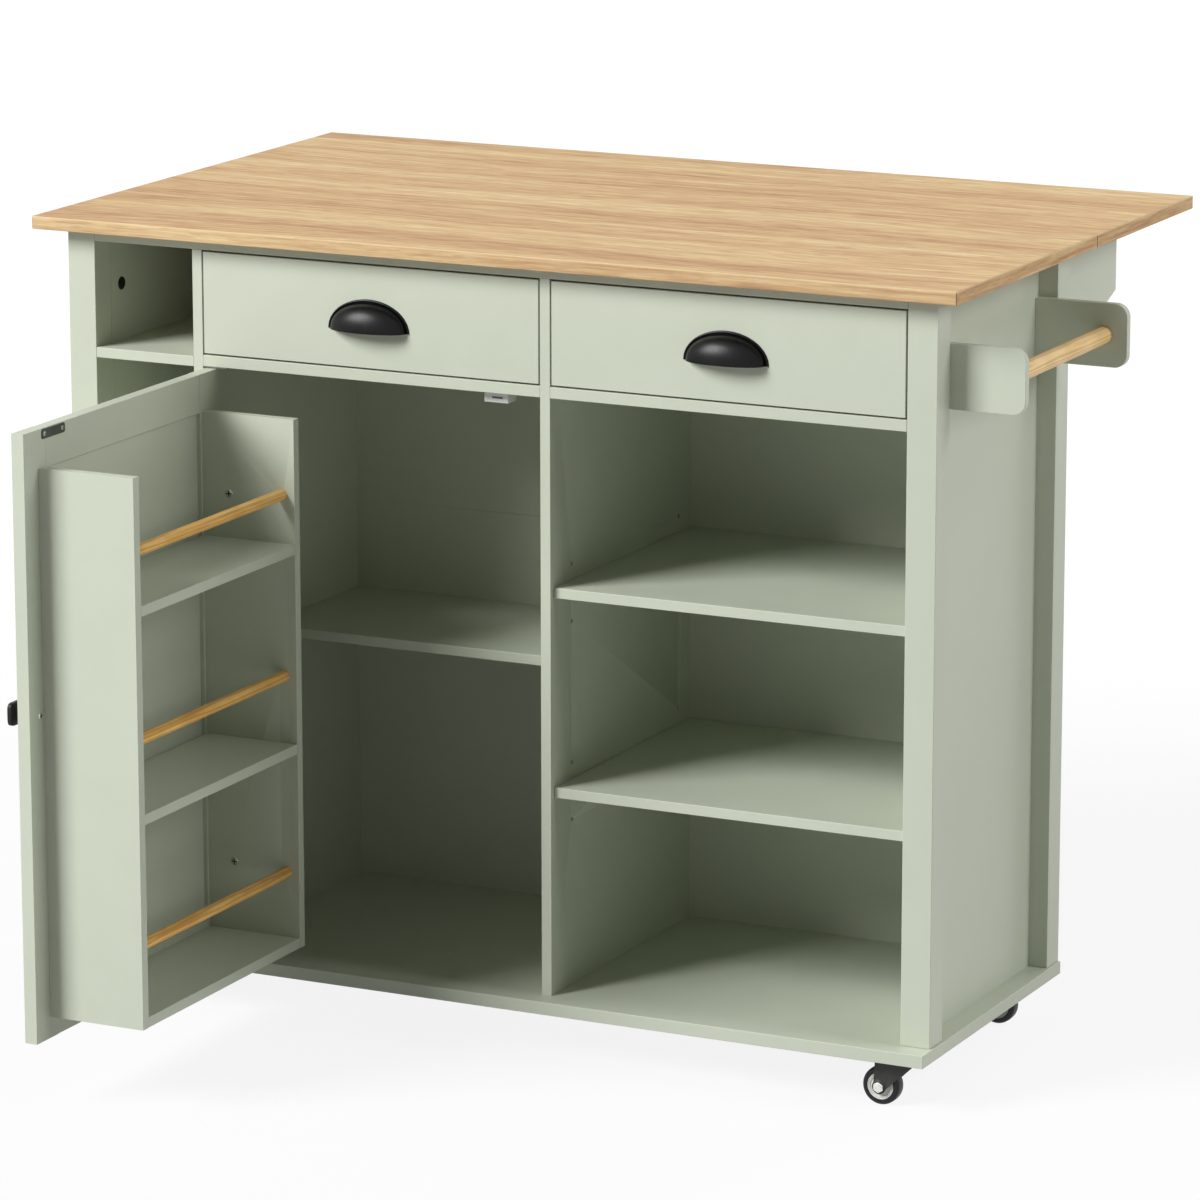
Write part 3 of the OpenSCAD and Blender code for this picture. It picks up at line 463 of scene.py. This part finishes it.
def eased(node, materials, width, segments=2, choose=None):
    """A merged copy of a CAD node with rounded edges. choose(normals) gives each face's material."""
    mesh = frame["nodes"][node].data.copy()
    clean(mesh, flat=True)
    made = add_object(node + "_finished", mesh, materials)
    if choose:
        chosen = choose(read_rows(mesh.polygons, "normal"))
        mesh.polygons.foreach_set("material_index", chosen.astype(np.int32))
    soften(made, width, segments)
    settle(made, BODY_OF[node], SLOT_OF[node], node)


# ---------------------------------------------------------------- boards


def top_or_edge(normals):
    """0 on the broad faces, 1 on the long edges, 2 on the short ends."""
    axis = np.abs(normals).argmax(1)
    return np.select([axis == 2, axis == 1], [0, 1], 2)


# how far an edge is rounded, in mm, and in how many steps
PAINTED_EDGE = (0.8, 2)
OTHER_EDGES = {
    "towel_plates": (1.9, 4), "back_boards": (0.12, 2),
    "drawer_left_front": (0.5, 2), "drawer_right_front": (0.5, 2),
}
for node in [n for n, slot in SLOT_OF.items() if slot == "painted_board"]:
    width, steps = OTHER_EDGES.get(node, PAINTED_EDGE)
    eased(node, [paint], width * MM, steps)

for node in ("drawer_left_box", "drawer_right_box"):
    eased(node, [box_paint], 0.5 * MM)
for node in ("worktop", "drop_leaf"):
    eased(node, [oak_top, oak_edge, oak_end], 0.7 * MM, 2, top_or_edge)
for node, wood in (("towel_bar", towel_wood), ("rack_dowels", dowel_wood)):
    eased(node, [wood], 0.5 * MM)


# ---------------------------------------------------------------- drawer pulls


# the photo's pulls are a little flatter than the solid, so the mouth lies this much higher
MOUTH_RISE = 4.5 * MM
RIM_WIDTH = 4 * MM
SHEET = 1.8 * MM
# the rim bead's section from inside to outside: distance from the dome's edge, and height
BEAD_ACROSS = np.array([-1.2, 4.0, 4.0, 3.5, 2.7, 1.9, -1.2]) * MM
BEAD_PROUD = np.array([0.0, 0.0, 0.9, 1.6, 1.9, 1.3, 0.6]) * MM


def cup_pull(side):
    """The dome is a quarter egg: x = a cos u, z = h sin u cos v, y = -d sin u sin v, from the drawer
    front (v = 0) to the open mouth (v = 90 degrees), and powers a little below 1 fill it out. The rim
    is a low bead carried along the half ellipse where the dome meets the front."""
    node = f"drawer_{side}_pull"
    low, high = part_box(node)
    middle, wall, foot = (low.x + high.x) / 2, high.y, low.z + MOUTH_RISE
    a, h, d = (high.x - low.x) / 2 - RIM_WIDTH, high.z - foot - RIM_WIDTH, high.y - low.y
    u = np.linspace(0, np.pi, 81)[:, None]
    v = np.linspace(0, np.pi / 2, 33)
    body = np.sin(u) ** 0.92
    dome_points = grid_points(
        middle + a * np.cos(u), wall - d * body * np.sin(v) ** 0.95, foot + h * body * np.cos(v) ** 0.95
    )
    dome = mesh_object(f"{side}_cup_dome", dome_points, grid_faces(u.size, v.size), [pull_metal], 60.0)
    # the shell's own faces have to look away from the drawer before it gets its thickness
    if read_rows(dome.data.polygons, "normal")[:, 1].sum() > 0:
        dome.data.flip_normals()
    shell = dome.modifiers.new("sheet_metal", "SOLIDIFY")
    shell.thickness, shell.offset = SHEET, -1.0
    soften(dome, 0.4 * MM, 2, 50.0)
    settle(dome, f"{side}_drawer", "black_metal", node)
    t = np.linspace(0, np.pi, 73)[:, None]
    bead_points = grid_points(
        middle + (a + BEAD_ACROSS) * np.cos(t), wall - BEAD_PROUD, foot + (h + BEAD_ACROSS) * np.sin(t)
    )
    bead_faces = grid_faces(t.size, BEAD_ACROSS.size, True, True)
    bead = mesh_object(f"{side}_cup_rim", bead_points, bead_faces, [pull_metal], 40.0)
    settle(bead, f"{side}_drawer", "black_metal")


for side in ("left", "right"):
    cup_pull(side)


# ---------------------------------------------------------------- door fittings


def door_knob():
    """The knob's outline grows from a round neck into a square with round corners and a low crown."""
    low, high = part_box("door_knob")
    centre = (high.x, (low.y + high.y) / 2, (low.z + high.z) / 2)
    half, length = (high.z - low.z) / 2 / MM, (high.x - low.x) / MM
    # radius and height in mm, and how square the ring is there
    outline = np.array([
        (0, 0, 2), (8.5, 0, 2), (8.5, 1.2, 2), (7.6, 2.0, 2), (6.2, 3.2, 2), (5.9, 8.5, 2),
        (6.6, 10.6, 2.2), (9.0, 12.4, 2.8), (half - 0.9, 13.6, 4.2), (half - 0.1, 14.4, 4.6),
        (half, 15.2, 4.8), (half, length - 1.8, 4.8), (half - 0.25, length - 1.0, 4.8),
        (half - 1.1, length - 0.35, 4.8), (half - 3.5, length - 0.08, 4.4), (half - 8, length, 4),
        (0, length, 4),
    ])
    profile, power = outline[:, :2] * MM, outline[:, 2]
    knob = turned("door_knob_turned", centre, (-1, 0, 0), profile, [black_metal], 96, power)
    settle(knob, "door", "black_metal", "door_knob")


def pressed_plate(name, centre, axis, half, corner, profile, material):
    """A plate with round corners: the outline, a rectangle grown by a circle of radius corner, is
    carried through the (inset, height) points of the profile."""
    inset, height = np.asarray(profile, float).T[:, :, None]
    t = np.linspace(0, 2 * np.pi, 48, endpoint=False) + math.pi / 48
    r, short = np.maximum(corner - inset, 0.0), np.maximum(inset - corner, 0.0)
    across, beyond = (
        np.sign(turn) * (reach - corner - short) + r * turn
        for turn, reach in zip((np.cos(t), np.sin(t)), half)
    )
    return rings(name, centre, axis, across, beyond, height, [material], 30.0)


def cross_screw(name, centre, axis, radius, height, materials):
    """A screw head with a cross recess. Rings run from the rim over a low dome to the outline of the
    cross and down its walls to the floor. The cross is arm / max(|cos t|, |sin t|) out at the ends of
    its arms and half / min(|cos t|, |sin t|) out along their sides."""
    arm, half = 0.74 * radius, 0.15 * radius
    # a quarter of a ring: an arm's middle and corner, three points between arms, the next arm's corner
    corner, between, right_angle = math.atan2(half, arm), 0.45, math.pi / 2
    quarter = np.array([0.0, corner, between, math.pi / 4, right_angle - between, right_angle - corner])
    t = np.concatenate([quarter + k * right_angle for k in range(4)])
    c, s = np.abs(np.cos(t)), np.abs(np.sin(t))
    cross = np.where(np.minimum(c, s) * arm <= np.maximum(c, s) * half + 1e-9,
                     arm / np.maximum(c, s), half / np.minimum(c, s).clip(1e-6))
    rim = np.full_like(t, radius)
    reach, level = zip(
        (rim, 0.0), (rim, 0.35), (rim * 0.93, 0.72), (np.maximum(cross * 1.06, radius * 0.8), 0.95),
        (cross, 1.0), (cross * 0.84, 0.1), (cross * 0.001, 0.0),
    )
    reach, level = np.array(reach), np.array(level)[:, None]
    made = rings(name, centre, axis, reach * np.cos(t), reach * np.sin(t), level * height, materials, 28.0)
    # the cross itself takes the second material, a near-black painted shade for the recess: its faces lie
    # inside the arms' outline
    off = read_rows(made.data.polygons, "center") - np.asarray(centre)
    off = np.abs(np.delete(off, int(np.argmax(np.abs(axis))), axis=1))
    inside = (off.min(1) < 0.93 * half) & (off.max(1) < 0.93 * arm)
    made.data.polygons.foreach_set("material_index", inside.astype(np.int32))
    return made


def loose_parts(node):
    """(middle, size) of each loose part of a CAD node, in its own order."""
    work = bmesh.new()
    work.from_mesh(frame["nodes"][node].data)
    bmesh.ops.remove_doubles(work, verts=work.verts, dist=SAME_PLACE)
    work.verts.ensure_lookup_table()
    seen, found = set(), []
    for start in work.verts:
        if start.index in seen:
            continue
        stack, members = [start], []
        seen.add(start.index)
        while stack:
            here = stack.pop()
            members.append(here.co[:])
            for edge in here.link_edges:
                there = edge.other_vert(here)
                if there.index not in seen:
                    seen.add(there.index)
                    stack.append(there)
        members = np.array(members)
        found.append(((members.min(0) + members.max(0)) / 2, members.max(0) - members.min(0)))
    work.free()
    return found


# how much wider a screw's head is drawn than the solid: the photo's heads in the rack are wide
RACK_HEAD, PLATE_HEAD = 1.45, 1.08


def door_screws():
    """The strike plate's screws face along x. The rack's screws lie along y, in its two sides, and
    look at each other across the rack."""
    screws = [(middle, size, int(np.argmin(size))) for middle, size in loose_parts("door_screws")]
    rack_y = [middle[1] for middle, _, axis in screws if axis == 1]
    rack_middle = (min(rack_y) + max(rack_y)) / 2
    for count, (middle, size, axis) in enumerate(screws):
        facing = np.zeros(3)
        facing[axis] = -1.0 if axis == 1 and middle[1] > rack_middle else 1.0
        foot = middle - facing * size[axis] / 2
        radius = float(np.sort(size)[1]) / 2 * (RACK_HEAD if axis == 1 else PLATE_HEAD)
        # the second material is the painted shade of the cross recess
        metals = [screw_sage if axis == 1 else bright_bolt, recess]
        head = cross_screw(f"door_screw_{count + 1}", foot, facing, radius, float(size[axis]), metals)
        settle(head, "door", "bright_metal", *(["door_screws"] if count == 0 else []))


def strike_plate():
    """A thin plate whose edge is pressed over, with a shallow step round its middle."""
    low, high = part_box("strike_plate")
    tall, wide, thick = high.z - low.z, high.y - low.y, (high.x - low.x) / MM
    centre = (low.x, (low.y + high.y) / 2, (low.z + high.z) / 2)
    profile = np.array([
        (0, 0), (0, thick - 0.5), (0.15, thick - 0.15), (0.5, thick), (1.1, thick), (1.3, thick - 0.2),
    ]) * MM
    plate = pressed_plate("strike_plate_pressed", centre, (1, 0, 0), (wide / 2, tall / 2), 3.2 * MM,
                          profile, strike_metal)
    settle(plate, "door", "black_metal", "strike_plate")


def painted_slot_shade():
    """The shade of a slim slot in the catch's front, where its latch sits, painted as a dark plate of 2.2 by
    13.6 mm.
    """
    low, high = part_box("door_catch")
    centre = (high.x - 13.5 * MM, low.y + 0.2 * MM, low.z + 5.8 * MM)
    profile = np.array([(0, 0), (0, 0.3), (0.2, 0.5)]) * MM
    slot = pressed_plate("painted_slot_shade", centre, (0, -1, 0), (1.1 * MM, 6.8 * MM), 0.9 * MM, profile,
                         slot_painted_shade)
    settle(slot, "cabinet", "white_plastic")


door_knob()
strike_plate()
door_screws()
eased("door_catch", [catch_plastic], 0.6 * MM, 3)
painted_slot_shade()


# ---------------------------------------------------------------- casters


# half of the hub's section in mm, from the bore outward: (radius, height) of its stepped face
HUB_FACE = np.array([
    (3.2, 9.0), (7.6, 9.0), (8.0, 8.8), (8.5, 7.6), (11.6, 7.4), (12.0, 7.9), (12.5, 8.3), (13.3, 8.3),
    (13.5, 7.7), (14.0, 7.7), (14.2, 8.3), (15.2, 8.4), (15.3, 8.0),
])
# the pressed rib's section: distance from its line, and height off the cheek
RIB_ACROSS = np.array([-1.3, -0.8, 0.0, 0.8, 1.3]) * MM
RIB_PROUD = np.array([-0.3, 0.35, 0.7, 0.35, -0.3]) * MM


def arc(middle_r, middle_h, radius, start, stop, count):
    """Points of a circular arc in (radius, height), from angle start to stop in degrees."""
    t = np.radians(np.linspace(start, stop, count))
    return [(middle_r + radius * math.cos(a), middle_h + radius * math.sin(a)) for a in t]


def wheel(corner, axle):
    """Tyre and hub, each a section of (radius, height) in mm turned about the axle. The tyre's tread
    is nearly flat and its shoulders are arcs of 4 mm."""
    low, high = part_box(f"wheel_{corner}")
    radius, half = (high.z - low.z) / 2 / MM, (high.y - low.y) / 2 / MM
    shoulder = arc(radius - 4.2, 4.4 - half, 4.0, -100, -8, 9)
    lower = np.array([(15.3, 0.9 - half), (15.8, 0.4 - half), *shoulder])
    upper = lower[::-1] * (1, -1)
    tyre = np.concatenate([lower, [(radius, 0.0)], upper, lower[:1]]) * MM
    rubber = turned(f"tyre_{corner}", axle, (0, 1, 0), tyre, [tyre_rubber], 96)
    settle(rubber, f"{corner}_wheel", "wheel_rubber", f"wheel_{corner}")
    section = np.concatenate([HUB_FACE, HUB_FACE[::-1] * (1, -1), HUB_FACE[:1]]) * MM
    hub = turned(f"hub_{corner}", axle, (0, 1, 0), section, [hub_plastic], 96)
    settle(hub, f"{corner}_wheel", "wheel_rubber")


def cheek_rib(name, corner, axle, top, face, out):
    """The pressed rib down a cheek: a low bead along the line where the cheek is bent. It starts near
    the fork's top, ends by the axle, and shrinks to nothing at both ends as a power of sin pi t."""
    t = np.linspace(0, 1, 25)[:, None]
    start = np.array([axle[0] + 16.5 * MM, top - 4 * MM])
    stop = np.array([axle[0] + 6.5 * MM, axle[2] + 5 * MM])
    line = start + (stop - start) * t
    fade = np.sin(np.pi * np.clip(t, 0.02, 0.98)) ** 0.35
    points = grid_points(line[:, :1] + RIB_ACROSS * fade, face + out * RIB_PROUD * fade, line[:, 1:])
    faces = grid_faces(t.size, RIB_ACROSS.size, True, True)
    rib = mesh_object(name, points, faces, [fork_metal], 60.0)
    settle(rib, f"{corner}_caster", "black_metal")


def axle_bolt(name, place, out, reach, tall):
    """A bolt head on a cheek: a hexagon of reach R across its corners, R cos 30 / cos(angle from the
    flat's middle), with a chamfered round top."""
    flat = math.pi / 3
    t = np.linspace(0, 2 * np.pi, 48, endpoint=False)
    hexagon = reach * math.cos(flat / 2) / np.cos((t + flat / 2) % flat - flat / 2)
    disc = np.full_like(t, reach * 0.87)
    radius, level = zip(
        (hexagon, 0.0), (hexagon, 0.78), (np.minimum(hexagon, reach * 0.93), 0.93), (disc * 0.92, 1.0),
        (disc * 0.01, 1.0),
    )
    radius, level = np.array(radius), np.array(level)[:, None]
    return rings(name, place, (0, out, 0), radius * np.sin(t), radius * np.cos(t), level * tall,
                 [bright_bolt], 25.0)


def cheek_boss(name, place, out, reach):
    """The cheek is stamped up a little round the bolt: a low round step with a chamfered edge."""
    profile = np.array([
        (0, -0.2 * MM), (reach, -0.2 * MM), (reach, 0.3 * MM), (reach - 0.4 * MM, 0.6 * MM), (0, 0.6 * MM),
    ])
    return turned(name, place, (0, out, 0), profile, [fork_metal], 48)


def caster(corner):
    """The wheel on its own body, and on the swivelling one the fork with a rib on each cheek, the
    bolt's two heads and the bosses under them."""
    low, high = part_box(f"wheel_{corner}")
    axle = (np.array(low) + np.array(high)) / 2
    wheel(corner, axle)
    eased(f"fork_{corner}", [fork_metal], 0.7 * MM, 3)
    fork_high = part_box(f"fork_{corner}")[1]
    points = read_rows(frame["nodes"][f"fork_{corner}"].data.vertices, "co")
    # below the axle there is nothing of the fork but its cheeks
    cheeks = points[points[:, 2] < axle[2], 1]
    faces = ((cheeks.min(), -1.0), (cheeks.max(), 1.0))
    for count, (face, out) in enumerate(faces):
        cheek_rib(f"cheek_rib_{corner}_{count + 1}", corner, axle, fork_high.z, face, out)
    low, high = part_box(f"axle_{corner}")
    reach = (high.x - low.x) / 2
    for count, (face, out) in enumerate(faces):
        place = (axle[0], face, axle[2])
        tall = face - low.y if out < 0 else high.y - face
        bolt = axle_bolt(f"axle_bolt_{corner}_{count + 1}", place, out, reach, tall)
        settle(bolt, f"{corner}_caster", "bright_metal", *([f"axle_{corner}"] if count == 0 else []))
        boss = cheek_boss(f"cheek_boss_{corner}_{count + 1}", place, out, 1.3 * reach)
        settle(boss, f"{corner}_caster", "black_metal")


for corner in ("front_left", "front_right", "rear_left", "rear_right"):
    caster(corner)


# ---------------------------------------------------------------- small metal


for node in ("caster_plates", "cam_covers"):
    eased(node, [black_metal], 0.3 * MM)
for node in ("shelf_pins", "cabinet_runners", "leaf_hinge_plates", "door_pivot_plates",
             "leaf_hinge_leaves", "support_hinges", "drawer_left_runners", "drawer_right_runners"):
    eased(node, [pivot_metal if node == "door_pivot_plates" else steel], 0.2 * MM)


# ---------------------------------------------------------------- studio


AIM = (0, 0, 0.5)       # the island's middle
AMBIENT = 0.075         # the world's light on the object, where the backdrop shown is 1
FLOOR_WHITE = 1.07      # the strength of the white that the floor shows
FLOOR_GLOW = 0.82       # its share near the object; the rest is lit, and keeps the shadow
FLOOR_GLOW_FAR = 0.98   # its share far away, where no lamp reaches
FLOOR_NEAR, FLOOR_FAR = 0.9, 3.4
FLOOR_HALF = 30.0


def seen_directly(recipe):
    """1 for rays from the camera, and for the gloss and glass that show the backdrop."""
    paths = [recipe.node("ShaderNodeLightPath", output=name)
             for name in ("Is Camera Ray", "Is Glossy Ray", "Is Transmission Ray")]
    return (paths[0] + paths[1] + paths[2]).math("MINIMUM", 1.0)


def studio_floor():
    """A plain pale floor. The camera and clear reflections see it as white, outside the shadow near
    the object; the white grows with the distance from the middle, where no lamp reaches."""
    r = Recipe("pale_studio_floor")
    x, y, _ = r.axes()
    far = (x * x + y * y).math("SQRT").ramp(FLOOR_NEAR, FLOOR_FAR)
    pale = r.mix((0.5, 0.5, 0.5), (0.53, 0.53, 0.53), r.noise(30.0, 2))
    diffuse = r.node("ShaderNodeBsdfDiffuse", sockets={"Color": pale})
    glow = r.node("ShaderNodeEmission", sockets={"Color": (1, 1, 1, 1), "Strength": FLOOR_WHITE})
    share = seen_directly(r) * (far * (FLOOR_GLOW_FAR - FLOOR_GLOW) + FLOOR_GLOW)
    r.end(r.node("ShaderNodeMixShader", sockets={0: share, 1: diffuse, 2: glow}))
    size = FLOOR_HALF
    mesh = bpy.data.meshes.new("studio_floor")
    mesh.from_pydata([(-size, -size, 0), (size, -size, 0), (size, size, 0), (-size, size, 0)], [],
                     [(0, 1, 2, 3)])
    mesh.materials.append(r.made)
    floor = bpy.data.objects.new("studio_floor", mesh)
    bpy.context.scene.collection.objects.link(floor)
    floor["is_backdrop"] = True


def softbox(name, turn, rise, distance, size, watts, shines):
    """A square lamp that looks at the island's middle, from turn degrees round from its front and rise
    degrees above level. Only a lamp that shines shows in reflections."""
    data = bpy.data.lights.new(name, "AREA")
    data.shape, data.size, data.energy = "SQUARE", size, watts
    lamp = bpy.data.objects.new(name, data)
    bpy.context.scene.collection.objects.link(lamp)
    turn, rise = math.radians(turn), math.radians(rise)
    back = (math.sin(turn) * math.cos(rise), -math.cos(turn) * math.cos(rise), math.sin(rise))
    lamp.location = [aim + distance * b for aim, b in zip(AIM, back)]
    lamp.rotation_euler = (math.pi / 2 - rise, 0.0, turn)
    lamp.visible_glossy = shines


def white_world():
    """A backdrop that is seen as white and lights the object only faintly."""
    r = Recipe("white_studio", "worlds")
    level = seen_directly(r) * (1.0 - AMBIENT) + AMBIENT
    backdrop = r.node("ShaderNodeBackground", sockets={"Color": (1, 1, 1, 1), "Strength": level})
    r.end(backdrop, "ShaderNodeOutputWorld")
    bpy.context.scene.world = r.made


def photo_camera():
    """The photograph's view, fitted to the island's corners with a plain pitched camera."""
    data = bpy.data.cameras.new("photo_camera")
    camera = bpy.data.objects.new("photo_camera", data)
    bpy.context.scene.collection.objects.link(camera)
    camera.location = (2.90021, -5.83444, 2.01053)
    camera.rotation_euler = (math.radians(77.1603), 0.0, math.radians(25.8460))
    data.lens, data.sensor_width = 176.686, 36.0
    data.shift_x, data.shift_y = -0.02, -0.02
    data.clip_start, data.clip_end = 0.1, 100.0
    bpy.context.scene.camera = camera


studio_floor()
# only the key shines, so that the worktop carries no glare
softbox("key_softbox", turn=-38.0, rise=34.0, distance=10.0, size=4.2, watts=1250.0, shines=True)
softbox("side_softbox", turn=96.0, rise=28.0, distance=6.0, size=2.4, watts=150.0, shines=False)
softbox("back_softbox", turn=165.0, rise=25.0, distance=6.0, size=3.0, watts=110.0, shines=False)
white_world()
photo_camera()
bpy.context.scene.view_settings.view_transform = "Standard"

bpy.context.view_layer.update()
low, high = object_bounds()
